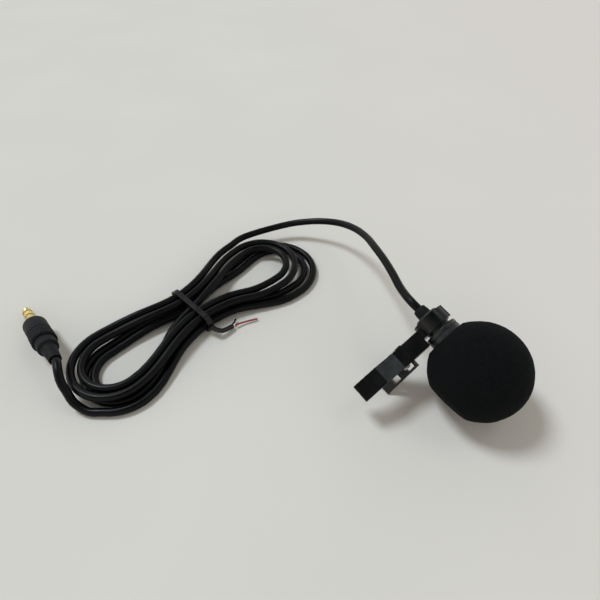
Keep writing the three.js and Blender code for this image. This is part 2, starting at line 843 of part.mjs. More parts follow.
// ---------------------------------------------------------------- plug
// Turned about Y from the barrel's front face: +Y runs out along the pin, -Y back to the cable.
const plugTipBaseY = plugPinLength - plugTipLength;
const plugTipCollarY = plugTipBaseY - plugWallGap - plugCollarThickness;
const plugRingBaseY = plugTipCollarY - plugWallGap - plugRingLength;
const plugRingCollarY = plugRingBaseY - plugWallGap - plugCollarThickness;
const plugSleeveEndY = plugRingCollarY - plugWallGap;
const plugBarrelBore = plugBarrelRadius - plugBarrelWall;
const plugBootEndY = -plugBarrelLength - plugBootLength;
const plugStubFrontY = plugBootEndY + plugStubLength;
const plugRodRearY = plugStubFrontY + 2.6;
const plugTubeRearY = plugRodRearY + 1.6;

function makePlugContacts() {
  const tubeBore = plugRodRadius + plugWallGap;
  const sleeveBore = plugPinRadius - plugSleeveWall;
  const flangeFrontY = -plugBarrelFront - plugWallGap;
  return [
    piece('plug_tip', turned([
      [0, plugRodRearY],
      [plugRodRadius, plugRodRearY],
      [plugRodRadius, plugTipBaseY],
      [plugPinRadius, plugTipBaseY],
      [plugPinRadius, plugTipBaseY + 0.5],
      [plugPinRadius - 0.5, plugTipBaseY + 1.1],
      [plugPinRadius - 0.12, plugTipBaseY + 2.1],
      [plugPinRadius - 0.35, plugTipBaseY + 3],
      [0.5, plugPinLength],
      [0, plugPinLength],
    ], 24), brass),
    piece('plug_tip_insulator', turned([
      [tubeBore, plugTipCollarY],
      [plugPinRadius, plugTipCollarY],
      [plugPinRadius, plugTipCollarY + plugCollarThickness],
      [tubeBore, plugTipCollarY + plugCollarThickness],
    ], 24), blackPlastic),
    piece('plug_ring', turned([
      [tubeBore + plugWallGap, plugTubeRearY],
      [plugTubeRadius, plugTubeRearY],
      [plugTubeRadius, plugRingBaseY],
      [plugPinRadius, plugRingBaseY],
      [plugPinRadius, plugRingBaseY + plugRingLength],
      [tubeBore + plugWallGap, plugRingBaseY + plugRingLength],
    ], 24), brass),
    piece('plug_ring_insulator', turned([
      [plugTubeRadius + plugWallGap, plugRingCollarY],
      [plugPinRadius, plugRingCollarY],
      [plugPinRadius, plugRingCollarY + plugCollarThickness],
      [plugTubeRadius + plugWallGap, plugRingCollarY + plugCollarThickness],
    ], 24), blackPlastic),
    piece('plug_sleeve', turned([
      [sleeveBore, flangeFrontY - 1.6],
      [plugFlangeRadius, flangeFrontY - 1.6],
      [plugFlangeRadius, flangeFrontY],
      [plugPinRadius, flangeFrontY],
      [plugPinRadius, plugSleeveEndY],
      [sleeveBore, plugSleeveEndY],
    ], 24), brass),
  ];
}

function makePlugBody() {
  const stubBore = cableRadius + bootBoreGap;
  const bootFrontY = -plugBarrelLength + plugBootHeld;
  const bootHole = plugBootRadius - 0.7;
  return [
    piece('plug_barrel', turned([
      [plugPinRadius + plugWallGap, 0],
      [plugBarrelRadius - 0.6, 0],
      [plugBarrelRadius, -0.6],
      [plugBarrelRadius, -plugBarrelLength + 0.4],
      [plugBarrelRadius - 0.4, -plugBarrelLength],
      [bootHole, -plugBarrelLength],
      [bootHole, -plugBarrelLength + 0.6],
      [plugBarrelBore, -plugBarrelLength + 0.6],
      [plugBarrelBore, -plugBarrelFront],
      [plugPinRadius + plugWallGap, -plugBarrelFront],
    ]), blackPlastic),
    piece('plug_cable_boot', turned([
      [stubBore, bootFrontY + 0.6],
      [plugBarrelBore - gap, bootFrontY + 0.6],
      [plugBarrelBore - gap, -plugBarrelLength + 0.7],
      [bootHole - gap, -plugBarrelLength + 0.7],
      [bootHole - gap, -plugBarrelLength - 0.1],
      [plugBootRadius, -plugBarrelLength - 0.1],
      [plugBootRadius, -plugBarrelLength - 4],
      [plugBootEndRadius + 0.5, -plugBarrelLength - 5],
      [plugBootEndRadius, plugBootEndY],
      [stubBore, plugBootEndY],
    ], 24), rubber),
    piece('plug_cable_clamp', turned([
      [stubBore, plugStubFrontY - 2.3],
      [stubBore + 0.7, plugStubFrontY - 2.3],
      [stubBore + 0.7, plugStubFrontY - 0.4],
      [stubBore, plugStubFrontY - 0.4],
    ], 24), brass),
    piece('cable_end_in_plug', rod(cableRadius, plugBootEndY, plugStubFrontY, 16), rubber),
  ];
}

function makePlugLeads() {
  const from = plugStubFrontY + gap;
  const lead = (name, side, toX, toY, material) => piece(name, bar([
    vector(side * leadSpread, from, 0),
    vector(side * leadSpread, from + 0.8, 0),
    vector(toX, toY - 0.7, 0),
    vector(toX, toY, 0),
  ], leadRadius, 8, 5), material);
  const rodLeadX = 0;
  const sleeveLeadX = -(plugFlangeRadius - 0.7);
  const sleeveRearY = -plugBarrelFront - plugWallGap - 1.6;
  return [
    lead('plug_signal_lead', 1, rodLeadX, plugRodRearY - gap, redSleeve),
    lead('plug_ground_lead', -1, sleeveLeadX, sleeveRearY - gap, bareCopper),
  ];
}

// Height of the barrel's front face when the tip's widest part touches the table.
function plugSeatHeight() {
  const slope = degrees(plugTilt);
  const widestY = plugTipBaseY + 3;
  const radius = plugPinRadius - 0.35;
  return widestY * Math.sin(slope) + radius * Math.cos(slope) + gap;
}

// ---------------------------------------------------------------- hank
// The upper layer spirals in anticlockwise. Under the tie the cable crosses to the other side and
// comes down a layer, and the lower layer spirals out clockwise.
// A loop has a fold at each end and two runs between them that draw in to the waist.
const foldShare = foldSteps / loopSteps / 2;
const startPhase = foldShare * (hankStartAngle / 90);
const endPhase = 0.5 - foldShare * ((180 - hankEndAngle) / 90);
const hankTurns = hankWholeTurns + endPhase - startPhase;
const smooth = (share) => share * share * (3 - 2 * share);
const clamp01 = (share) => Math.min(1, Math.max(0, share));

function loopPoint(phase, inset) {
  const halfLength = hankHalfLength - loopStepEnd * inset;
  const left = hankLeftRadius - loopStepLeft * inset;
  const right = hankRightRadius - loopStepRight * inset;
  const waist = hankWaist - loopStepWaist * inset;
  const rightCentre = halfLength - right;
  const leftCentre = left - halfLength;
  const turn = ((phase + foldShare) % 1) - foldShare;
  if (turn < foldShare) {
    const angle = (turn / foldShare) * (Math.PI / 2);
    return [rightCentre + right * Math.cos(angle), right * Math.sin(angle)];
  }
  if (Math.abs(turn - 0.5) <= foldShare) {
    const angle = Math.PI + ((turn - 0.5) / foldShare) * (Math.PI / 2);
    return [leftCentre + left * Math.cos(angle), left * Math.sin(angle)];
  }
  const farSide = turn < 0.5;
  const share = (farSide ? turn - foldShare : 1 - foldShare - turn) / (0.5 - 2 * foldShare);
  const x = rightCentre + (leftCentre - rightCentre) * share;
  const radius = x > waistX ? right : left;
  const reach = x > waistX ? rightCentre - waistX : waistX - leftCentre;
  const width = waist + (radius - waist) * smooth(clamp01(Math.abs(x - waistX) / reach));
  return [x, farSide ? width : -width];
}

// Towards the folds the lower layer lies nearer than the upper one.
function hankPoint(turned01) {
  const wound = turned01 * hankTurns;
  const half = hankTurns / 2;
  const inset = half - Math.abs(wound - half);
  const [x, width] = loopPoint(startPhase + wound, inset);
  const dropAt = Math.round(startPhase + half - dropPhase) + dropPhase - startPhase;
  const drop = smooth(clamp01((wound - dropAt) / dropShare + 0.5));
  const y = width * (1 - 2 * drop);
  const side = x > waistX ? 'right' : 'left';
  const fromTie = Math.abs(x - waistX);
  const parted = smooth(clamp01((fromTie - shiftStart) / (shiftEnd - shiftStart)));
  const shift = upperShift[side] + (lowerShift[side] - upperShift[side]) * drop;
  const shortfall = x > waistX ? upperShortfall * (1 - drop) * parted : 0;
  const lift = waistLift * (1 - smooth(clamp01((fromTie - liftStart) / (liftEnd - liftStart))));
  const height = hankBase + layerHeight * (1 - drop) + lift;
  return vector(x - shortfall, y + shift * parted, height);
}

function hankCentreLine() {
  const steps = Math.round(hankTurns * loopSteps);
  const points = [];
  for (let i = 0; i <= steps; i += 1) {
    points.push(hankPoint(i / steps));
  }
  const turnHank = new THREE.Matrix4().makeRotationZ(degrees(hankTurn)).setPosition(hankX, hankY, 0);
  points.forEach((point) => point.applyMatrix4(turnHank));
  const straight = (from, to) =>
    from.clone().addScaledVector(from.clone().sub(to).setZ(0).normalize(), 2 * cableRadius);
  points.unshift(straight(points[0], points[1]));
  points.push(straight(points[steps + 1], points[steps]));
  return points;
}

// The least gap between stretches of the hank that aren't neighbours along the cable.
function leastGap(points, diameter) {
  const dense = [];
  for (let i = 0; i + 1 < points.length; i += 1) {
    for (let part = 0; part < 4; part += 1) {
      dense.push(points[i].clone().lerp(points[i + 1], part / 4));
    }
  }
  const along = [0];
  for (let i = 1; i < dense.length; i += 1) {
    along.push(along[i - 1] + dense[i].distanceTo(dense[i - 1]));
  }
  let least = Infinity;
  for (let i = 0; i < dense.length; i += 1) {
    for (let j = i + 1; j < dense.length; j += 1) {
      if (along[j] - along[i] > 5 * diameter) {
        least = Math.min(least, dense[i].distanceTo(dense[j]) - diameter);
      }
    }
  }
  return least;
}

const lengthOf = (points) =>
  points.slice(1).reduce((sum, point, i) => sum + point.distanceTo(points[i]), 0);

// ---------------------------------------------------------------- wire tie round the hank's waist
function roundedOutline(shape, halfWidth, low, high, corner) {
  shape.moveTo(-halfWidth + corner, low);
  shape.lineTo(halfWidth - corner, low);
  shape.absarc(halfWidth - corner, low + corner, corner, -Math.PI / 2, 0, false);
  shape.absarc(halfWidth - corner, high - corner, corner, 0, Math.PI / 2, false);
  shape.absarc(-halfWidth + corner, high - corner, corner, Math.PI / 2, Math.PI, false);
  shape.absarc(-halfWidth + corner, low + corner, corner, Math.PI, 1.5 * Math.PI, false);
  return shape;
}

function makeTie() {
  const inner = hankWaist + cableRadius + endGap + tieSlack;
  const low = hankBase + waistLift - cableRadius - endGap;
  const high = hankBase + waistLift + layerHeight + cableRadius + endGap;
  const t = tieThickness;
  const shape = roundedOutline(
    new THREE.Shape(), inner + t, low - t, high + t, tieCorner + t,
  );
  shape.holes.push(roundedOutline(new THREE.Path(), inner, low, high, tieCorner));
  const band = slab(shape, -tieWidth / 2, tieWidth / 2).rotateZ(Math.PI / 2);
  const near = -(inner + t + endGap);
  const middleZ = (low + high) / 2;
  const twistEnd = vector(twistLength * 0.85, near - twistLength * 0.4, middleZ - twistDrop);
  const twist = bar([
    vector(0, near, middleZ),
    vector(0.1, near - 1.2, middleZ - 0.1),
    vector(twistLength * 0.3, near - twistLength * 0.36, middleZ - twistDrop * 0.65),
    twistEnd,
  ], twistRadius, 8, 6);
  const wire = (name, points, material) => {
    const start = twistEnd.clone().add(vector(points[0][0], points[0][1], points[0][2]));
    const rest = points.slice(1).map(([x, y, z]) => start.clone().add(vector(x, y, z)));
    return piece(name, bar([start, ...rest], tieWireRadius, 8, 6), material);
  };
  return [
    piece('twist_tie_band', band, blackPlastic),
    piece('twist_tie_twist', twist, blackPlastic),
    wire('twist_tie_long_tail', [[0.9, -0.3, 0], [2, -0.5, -0.2], [4.5, -1.5, -0.4], [8, -3.2, -0.6]],
      redSleeve),
    wire('twist_tie_short_tail', [[0.7, 0.8, 0.1], [1, 0.3, -0.1], [2.2, 1.1, -0.3]],
      blackPlastic),
  ];
}

// ---------------------------------------------------------------- assembly in the row's frame
const microphone = new THREE.Group();
microphone.rotation.x = degrees(tilt);
microphone.position.z = foamRadius - foamFlatDepth + foamDrop * Math.cos(degrees(tilt));
microphone.add(makeFoam(), ...makeHead(), ...makeCapsule(), ...makeTail());

const clip = new THREE.Group();
clip.rotation.y = -degrees(clipSwing);
clip.add(makeUpperArm(), makeLowerArm(), makePin(), makeSpring());
microphone.add(clip);

const standing = new THREE.Group();
standing.add(microphone);
standing.updateMatrixWorld(true);
const footprint = new THREE.Box3().setFromObject(standing, true);
const middle = footprint.getCenter(vector(0, 0, 0));
standing.position.set(-middle.x, -middle.y, 0);

const lavalier = new THREE.Group();
lavalier.add(standing);
lavalier.updateMatrixWorld(true);

const plug = new THREE.Group();
const plugShoulderZ = plugSeatHeight();
plug.position.set(plugX, plugY, plugShoulderZ);
plug.rotation.x = -degrees(plugTilt);
plug.add(...makePlugContacts(), ...makePlugBody(), ...makePlugLeads());
lavalier.add(plug);

const tie = new THREE.Group();
tie.rotation.z = degrees(hankTurn);
tie.position.copy(vector(waistX, 0, 0).applyEuler(tie.rotation)).add(vector(hankX, hankY, 0));
tie.add(...makeTie());
lavalier.add(tie);

// The free run leaves the tail along the microphone's axis, arches over and joins the hank's far side.
const tailDirection = vector(0, Math.cos(degrees(tilt)), Math.sin(degrees(tilt)));
const tailExit = microphone.localToWorld(vector(0, tailEndY, 0));
const hankLine = hankCentreLine();
const hankStart = hankLine[0].clone();
const intoHank = hankLine[1].clone().sub(hankStart).normalize();
const freeRun = [
  tailExit.clone().addScaledVector(tailDirection, endGap),
  tailExit.clone().addScaledVector(tailDirection, 3),
  vector(11.25, 29.5, 21.6),
  vector(15.25, 36.8, 21.3),
  vector(18.95, 43.7, 20.6),
  vector(22.85, 51.5, 19.3),
  vector(26.75, 59.3, 17.4),
  vector(29.45, 67.8, 15),
  vector(30.05, 76.4, 12.4),
  vector(27.85, 84.3, 10.1),
  vector(23.45, 91, 8.2),
  vector(17.45, 96.5, 6.6),
  hankStart.clone().addScaledVector(intoHank, -4),
  hankStart.clone().addScaledVector(intoHank, -endGap),
];
lavalier.add(piece('cable_run', bar(freeRun, cableRadius, 8, 20), rubber));
lavalier.add(piece('cable_hank', swept(hankLine, cableRadius, 6), rubber));

// The plug's lead rises from the outside of the hank's left fold, arches over and enters the boot.
const hankEnd = hankLine[hankLine.length - 1].clone();
const outOfHank = hankEnd.clone().sub(hankLine[hankLine.length - 2]).normalize();
const bootMouth = vector(0, plugBootEndY, 0).applyMatrix4(plug.matrix.compose(
  plug.position, plug.quaternion, plug.scale,
));
const bootDirection = vector(0, -Math.cos(degrees(plugTilt)), Math.sin(degrees(plugTilt)));
const plugLead = [
  hankEnd.clone().addScaledVector(outOfHank, endGap),
  hankEnd.clone().addScaledVector(outOfHank, 2),
  vector(-88.8, 73.1, 2.46),
  vector(-89.3, 74.5, 3.3),
  vector(-89.4, 75.8, 4.29),
  vector(-89.3, 77.4, 5.93),
  vector(-89.3, 78.9, 7.61),
  vector(-89, 80.7, 9.17),
  vector(-88.4, 82.5, 10.14),
  vector(-87.8, 84.3, 10.59),
  vector(-87.3, 86.1, 10.59),
  bootMouth.clone().addScaledVector(bootDirection, endGap),
];
lavalier.add(piece('cable_plug_lead', bar(plugLead, cableRadius, 8, 12), rubber));

const report = (label, value) => console.log(`${label}: ${value.toFixed(2)} mm`);
report('least gap of the hank to itself', leastGap(hankLine, 2 * cableRadius));
report('hank cable length', lengthOf(hankLine));
report('free run length', new THREE.CatmullRomCurve3(freeRun, false, 'centripetal').getLength());
report('plug lead length', new THREE.CatmullRomCurve3(plugLead, false, 'centripetal').getLength());

export default lavalier;
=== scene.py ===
"""Dresses a lavalier microphone that lies on a pale table with its cable in a tied hank.

Lengths in the tables are millimetres, as in the part's source, and become metres in the meshes.
"""
import json
import math

import bmesh
import bpy
from mathutils import Matrix, Vector, noise

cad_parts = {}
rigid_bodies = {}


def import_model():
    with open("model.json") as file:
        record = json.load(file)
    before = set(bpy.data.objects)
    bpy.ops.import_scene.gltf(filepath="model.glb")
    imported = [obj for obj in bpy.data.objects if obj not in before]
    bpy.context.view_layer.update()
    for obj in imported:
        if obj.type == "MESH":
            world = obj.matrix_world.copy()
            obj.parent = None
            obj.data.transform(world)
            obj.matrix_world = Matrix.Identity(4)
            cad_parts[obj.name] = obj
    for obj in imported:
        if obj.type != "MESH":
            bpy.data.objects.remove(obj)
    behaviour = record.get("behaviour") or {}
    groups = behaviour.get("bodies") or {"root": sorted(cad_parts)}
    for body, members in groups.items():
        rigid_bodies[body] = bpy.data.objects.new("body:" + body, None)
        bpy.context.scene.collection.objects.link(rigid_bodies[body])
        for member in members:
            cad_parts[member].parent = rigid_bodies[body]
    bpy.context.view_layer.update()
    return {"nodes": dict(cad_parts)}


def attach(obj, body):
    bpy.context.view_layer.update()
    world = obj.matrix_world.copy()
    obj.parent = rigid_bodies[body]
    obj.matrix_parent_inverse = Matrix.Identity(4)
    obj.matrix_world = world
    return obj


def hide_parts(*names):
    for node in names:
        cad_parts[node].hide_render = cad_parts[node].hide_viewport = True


MM = 0.001
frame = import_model()
nodes = frame["nodes"]

# ---------------------------------------------------------------- places
TILT = math.radians(14.6)
PLUG_TILT = math.radians(12.9)
HANK_TURN = math.radians(4.8)

microphone_place = (
    Matrix.Translation((8.0521, -5.3922, 15.5516)) @ Matrix.Rotation(TILT, 4, "X")
)
plug_place = (
    Matrix.Translation((-87.2, 113.5, 4.389)) @ Matrix.Rotation(-PLUG_TILT, 4, "X")
)
hank_place = (
    Matrix.Translation((-36.45, 83.1, 0)) @ Matrix.Rotation(HANK_TURN, 4, "Z")
)


def object_of(name, data):
    thing = bpy.data.objects.new(name, data)
    bpy.context.scene.collection.objects.link(thing)
    return thing


# ---------------------------------------------------------------- camera
# The photo's own view, as a plain pinhole. Its focal length is in pixels of the photo.
PHOTO_SIZE = 600
FOCAL_PIXELS = 449
SENSOR_WIDTH = 36
NEAREST_SEEN = 0.005
FARTHEST_SEEN = 20
CAMERA_PLACE = (-83.5, -27.54, 129)
CAMERA_HEADING = (0.658, 0.753)
CAMERA_PITCH = math.radians(47)


def make_camera():
    camera = object_of("camera", bpy.data.cameras.new("camera"))
    camera.data.sensor_width = SENSOR_WIDTH
    camera.data.sensor_height = SENSOR_WIDTH
    camera.data.sensor_fit = "HORIZONTAL"
    camera.data.lens = FOCAL_PIXELS / PHOTO_SIZE * SENSOR_WIDTH
    camera.data.clip_start = NEAREST_SEEN
    camera.data.clip_end = FARTHEST_SEEN
    level = math.cos(CAMERA_PITCH)
    ahead = Vector((
        CAMERA_HEADING[0] * level,
        CAMERA_HEADING[1] * level,
        -math.sin(CAMERA_PITCH),
    ))
    camera.rotation_mode = "QUATERNION"
    camera.rotation_quaternion = ahead.to_track_quat("-Z", "Y")
    camera.location = Vector(CAMERA_PLACE) * MM
    bpy.context.scene.camera = camera


make_camera()


# ---------------------------------------------------------------- finishes
class Shade:
    """A socket of a finish's node tree that takes part in sums."""

    def __init__(self, finish, socket):
        self.finish = finish
        self.socket = socket

    def math(self, operation, other):
        return self.finish.add("ShaderNodeMath", {"operation": operation}, {0: self, 1: other})

    def __add__(self, other):
        return self.math("ADD", other)

    def __mul__(self, other):
        return self.math("MULTIPLY", other)

    def __sub__(self, other):
        return self.math("SUBTRACT", other)


NOISE_ROUGHNESS = 0.6


class Finish:
    """A material with one Principled shader, whose nodes are added by Python expressions."""

    def __init__(self, name, **values):
        self.material = bpy.data.materials.new(name)
        self.material.use_nodes = True
        self.tree = self.material.node_tree
        self.shader = self.tree.nodes["Principled BSDF"]
        for socket, value in values.items():
            self.shader.inputs[socket.replace("_", " ")].default_value = value

    def add(self, kind, settings=None, sockets=None, output=0):
        node = self.tree.nodes.new(kind)
        for name, value in (settings or {}).items():
            setattr(node, name, value)
        for name, value in (sockets or {}).items():
            if isinstance(value, Shade):
                self.tree.links.new(value.socket, node.inputs[name])
            else:
                node.inputs[name].default_value = value
        return Shade(self, node.outputs[output])

    def feed(self, socket, shade):
        self.tree.links.new(shade.socket, self.shader.inputs[socket])

    def place(self):
        return self.add("ShaderNodeTexCoord", output="Object")

    def grain(self, size, detail, stretch=(1, 1, 1)):
        """Noise of that size in millimetres, from about 0.3 to 0.7."""
        where = self.place()
        if stretch != (1, 1, 1):
            where = self.add("ShaderNodeMapping", None, {"Vector": where, "Scale": stretch})
        return self.add("ShaderNodeTexNoise", None, {
            "Vector": where,
            "Scale": 1 / (size * MM),
            "Detail": detail,
            "Roughness": NOISE_ROUGHNESS,
        })

    def cells(self, size):
        """How far a point is from the middle of its cell, for cells of that size in millimetres."""
        return self.add("ShaderNodeTexVoronoi", {"feature": "F1"}, {
            "Vector": self.place(),
            "Scale": 1 / (size * MM),
        }, "Distance")

    def mix(self, amount, low, high):
        """The colour low where amount is 0 and high where it is 1."""
        return self.add("ShaderNodeMix", {"data_type": "RGBA"}, {
            "Factor": amount,
            6: low,
            7: high,
        }, 2)

    def spread(self, amount, low, high, out_low=0.0, out_high=1.0):
        """The amount from low to high, stretched to the range from out_low to out_high."""
        return self.add("ShaderNodeMapRange", {"clamp": True}, {
            "Value": amount,
            "From Min": low,
            "From Max": high,
            "To Min": out_low,
            "To Max": out_high,
        })

    def bump(self, height, depth, under=None):
        """Adds a bump of that depth in millimetres to the shader's normal."""
        sockets = {"Height": height, "Distance": depth * MM, "Strength": 1.0}
        if under is not None:
            sockets["Normal"] = under
        normal = self.add("ShaderNodeBump", None, sockets)
        self.feed("Normal", normal)
        return normal

    def mottle(self, amount, colour, dark, light):
        """Varies the base colour with the amount, from a darker share of it to a lighter one."""
        self.feed("Base Color", self.mix(amount, scaled(colour, dark), scaled(colour, light)))

    def vary_roughness(self, amount, roughness, less, more):
        low = roughness - less
        self.feed("Roughness", self.spread(amount, 0.3, 0.7, low, roughness + more))


def scaled(colour, share):
    return tuple(channel * share for channel in colour) + (1,)


def moulded_plastic(name, colour, roughness, grain_size=0.35, grain_depth=0.012, shine=0.45):
    """Black moulded plastic with a fine spark-eroded grain and slightly rubbed high spots."""
    finish = Finish(name, Specular_IOR_Level=shine)
    broad = finish.grain(4, 2)
    finish.mottle(finish.spread(broad, 0.35, 0.65), colour, 0.8, 1.3)
    finish.vary_roughness(broad, roughness, 0.06, 0.08)
    finish.bump(finish.grain(grain_size, 2), grain_depth)
    return finish.material


def brushed_metal(name, colour, roughness):
    """Turned or drawn metal with fine lines, which are finest along Y."""
    finish = Finish(name, Metallic=1)
    smudge = finish.grain(3, 2)
    finish.mottle(finish.spread(smudge, 0.35, 0.65), colour, 0.82, 1)
    finish.vary_roughness(smudge, roughness, 0.05, 0.09)
    finish.bump(finish.grain(0.25, 2, (1, 6, 1)), 0.004)
    return finish.material


def painted_metal(name, colour, roughness):
    """Dark coated metal, fine-grained and a little brighter than the plastic."""
    finish = Finish(name, Metallic=0.3)
    fine = finish.grain(0.12, 2)
    finish.mottle(finish.spread(finish.grain(2.5, 2), 0.35, 0.65), colour, 0.85, 1.15)
    finish.vary_roughness(fine, roughness, 0.05, 0.08)
    finish.bump(fine, 0.008)
    return finish.material


def open_cell_foam(name):
    """Soft black foam: fine pores with painted shade at their bottoms, between hardly lighter cell
    walls, and no shine.
    """
    finish = Finish(name, Specular_IOR_Level=0.08)
    pores = finish.cells(0.5)
    clumps = finish.grain(3.5, 3)
    fine = finish.grain(0.22, 3)
    # The pit depth that feeds the bump also darkens the base colour in the pores, which is painted
    # shade; the clumps and the fine grain add random tone.
    depth = finish.spread(pores, 0.1, 0.75)
    tone_and_pore_shade = depth * 0.55 + finish.spread(clumps, 0.3, 0.7) * 0.25 + fine * 0.2
    low = (0.0012, 0.0016, 0.0018, 1)
    high = (0.0046, 0.0056, 0.006, 1)
    finish.feed("Base Color", finish.mix(tone_and_pore_shade, low, high))
    finish.feed("Roughness", finish.spread(fine, 0.3, 0.7, 0.9, 1.0))
    first = finish.bump(depth, 0.09)
    finish.bump(fine, 0.03, under=first)
    return finish.material


def soft_jacket(name, colour, roughness, shine):
    """The cable's soft plastic jacket, with a faint waviness from being wound."""
    finish = Finish(name, Specular_IOR_Level=shine)
    broad = finish.grain(6, 2)
    finish.mottle(finish.spread(broad, 0.35, 0.65), colour, 0.8, 1.3)
    finish.vary_roughness(broad, roughness, 0.06, 0.08)
    waves = finish.bump(finish.grain(1.6, 1), 0.03)
    finish.bump(finish.grain(0.3, 2), 0.006, under=waves)
    return finish.material


def plain_finish(name, colour, roughness, metallic=0.0, grain_size=0.5, grain_depth=0.01):
    """A small inner piece's finish: one colour with slight mottling and grain."""
    finish = Finish(name, Metallic=metallic)
    grain = finish.grain(grain_size, 3)
    finish.mottle(finish.spread(grain, 0.3, 0.7), colour, 0.8, 1)
    finish.vary_roughness(grain, roughness, 0.05, 0.07)
    finish.bump(grain, grain_depth)
    return finish.material


foam_black = open_cell_foam("windscreen_foam")
clip_plastic = moulded_plastic(
    "clip_black_plastic", (0.0011, 0.0016, 0.0018), 0.26, 0.35, 0.005, 0.26
)
barrel_plastic = moulded_plastic(
    "plug_barrel_plastic", (0.0048, 0.0058, 0.0074), 0.55, 0.2, 0.008, 0.1
)
coated_metal = painted_metal("microphone_coated_metal", (0.009, 0.0105, 0.0115), 0.36)
cable_black = soft_jacket("cable_jacket", (0.0013, 0.0018, 0.0021), 0.34, 0.12)
boot_rubber = moulded_plastic(
    "strain_relief_rubber", (0.0042, 0.0056, 0.0062), 0.6, 0.25, 0.01, 0.12
)
gold = brushed_metal("gold_plated_contact", (0.74, 0.6, 0.2), 0.3)
bright_steel = brushed_metal("spring_steel", (0.62, 0.62, 0.6), 0.25)
contact_black = moulded_plastic("contact_insulator", (0.012, 0.012, 0.012), 0.4)
felt_black = plain_finish("acoustic_felt", (0.012, 0.012, 0.013), 0.98, 0, 0.25, 0.08)
can_aluminium = brushed_metal("capsule_can_aluminium", (0.6, 0.61, 0.62), 0.35)
pale_film = plain_finish("metallised_film", (0.62, 0.61, 0.55), 0.25, 0.6)
white_plastic = plain_finish("white_insulator", (0.7, 0.7, 0.66), 0.5)
board_green = plain_finish("circuit_board", (0.03, 0.16, 0.06), 0.45)
solder_grey = plain_finish("solder", (0.55, 0.55, 0.54), 0.3, 0.9)
brass_yellow = brushed_metal("brass", (0.7, 0.5, 0.22), 0.32)
red_insulation = plain_finish("red_insulation", (0.25, 0.018, 0.014), 0.5, 0, 0.4)
bare_copper = plain_finish("bare_copper", (0.6, 0.25, 0.12), 0.35, 0.9, 0.2)
tie_plastic = moulded_plastic(
    "tie_sleeve_plastic", (0.003, 0.003, 0.0034), 0.28, 0.35, 0.012, 0.3
)

CAD_FINISHES = {
    "head_grille": coated_metal,
    "head_shell": coated_metal,
    "acoustic_felt": felt_black,
    "capsule_can": can_aluminium,
    "diaphragm": pale_film,
    "spacer_ring": white_plastic,
    "backplate": brass_yellow,
    "backplate_holder": white_plastic,
    "jfet_transistor": contact_black,
    "capsule_board": board_green,
    "rear_gasket": boot_rubber,
    "rear_housing": coated_metal,
    "cable_ferrule": brass_yellow,
    "strain_relief": boot_rubber,
    "cable_end_in_tail": cable_black,
    "signal_solder_joint": solder_grey,
    "ground_solder_joint": solder_grey,
    "signal_lead": red_insulation,
    "ground_lead": bare_copper,
    "clip_upper_arm": clip_plastic,
    "clip_lower_arm": clip_plastic,
    "clip_hinge_pin": bright_steel,
    "clip_spring": bright_steel,
    "plug_tip": gold,
    "plug_tip_insulator": contact_black,
    "plug_ring": gold,
    "plug_ring_insulator": contact_black,
    "plug_sleeve": gold,
    "plug_barrel": barrel_plastic,
    "plug_cable_boot": boot_rubber,
    "plug_cable_clamp": brass_yellow,
    "cable_end_in_plug": cable_black,
    "plug_signal_lead": red_insulation,
    "plug_ground_lead": bare_copper,
    "twist_tie_band": tie_plastic,
    "twist_tie_twist": tie_plastic,
    "twist_tie_long_tail": red_insulation,
    "twist_tie_short_tail": tie_plastic,
    "cable_run": cable_black,
    "cable_hank": cable_black,
    "cable_plug_lead": cable_black,
    "foam_windscreen": foam_black,
}


def finish_node(name, material):
    mesh = nodes[name].data
    mesh.materials.clear()
    mesh.materials.append(material)


for node_name, material in CAD_FINISHES.items():
    finish_node(node_name, material)


# ---------------------------------------------------------------- modelling helpers
BEVEL_SEGMENTS = 3
TURNED_BEVEL_ANGLE = math.radians(25)
COPY_BEVEL_ANGLE = math.radians(16)     # low enough to round the shallow bends of the clip's arms
FLAT_ANGLE = math.radians(1.5)          # faces that meet at less than this become one


def deselect_all():
    for thing in bpy.data.objects:
        thing.select_set(False)


def make_active(thing):
    deselect_all()
    bpy.context.view_layer.objects.active = thing
    thing.select_set(True)


def edit(thing, *steps):
    """Runs operators in edit mode on one piece, each given as (operator, arguments)."""
    make_active(thing)
    bpy.ops.object.mode_set(mode="EDIT")
    for operator, arguments in steps:
        operator(**arguments)
    bpy.ops.object.mode_set(mode="OBJECT")


def close_up(thing):
    """Merges doubles and turns all faces outwards."""
    edit(
        thing,
        (bpy.ops.mesh.select_all, {"action": "SELECT"}),
        (bpy.ops.mesh.remove_doubles, {"threshold": 1e-6}),
        (bpy.ops.mesh.normals_make_consistent, {"inside": False}),
    )


def apply_modifier(thing, kind, **settings):
    make_active(thing)
    modifier = thing.modifiers.new(kind.lower(), kind)
    for name, value in settings.items():
        setattr(modifier, name, value)
    bpy.ops.object.modifier_apply(modifier=modifier.name)


def smooth(thing, angle=40):
    make_active(thing)
    bpy.ops.object.shade_smooth_by_angle(angle=math.radians(angle))


def settle(thing, place, material):
    """Puts a piece drawn in millimetres into the row's frame, with its place in its mesh."""
    thing.data.transform(Matrix.Scale(MM, 4) @ place)
    thing.data.materials.clear()
    thing.data.materials.append(material)
    thing.data.update()


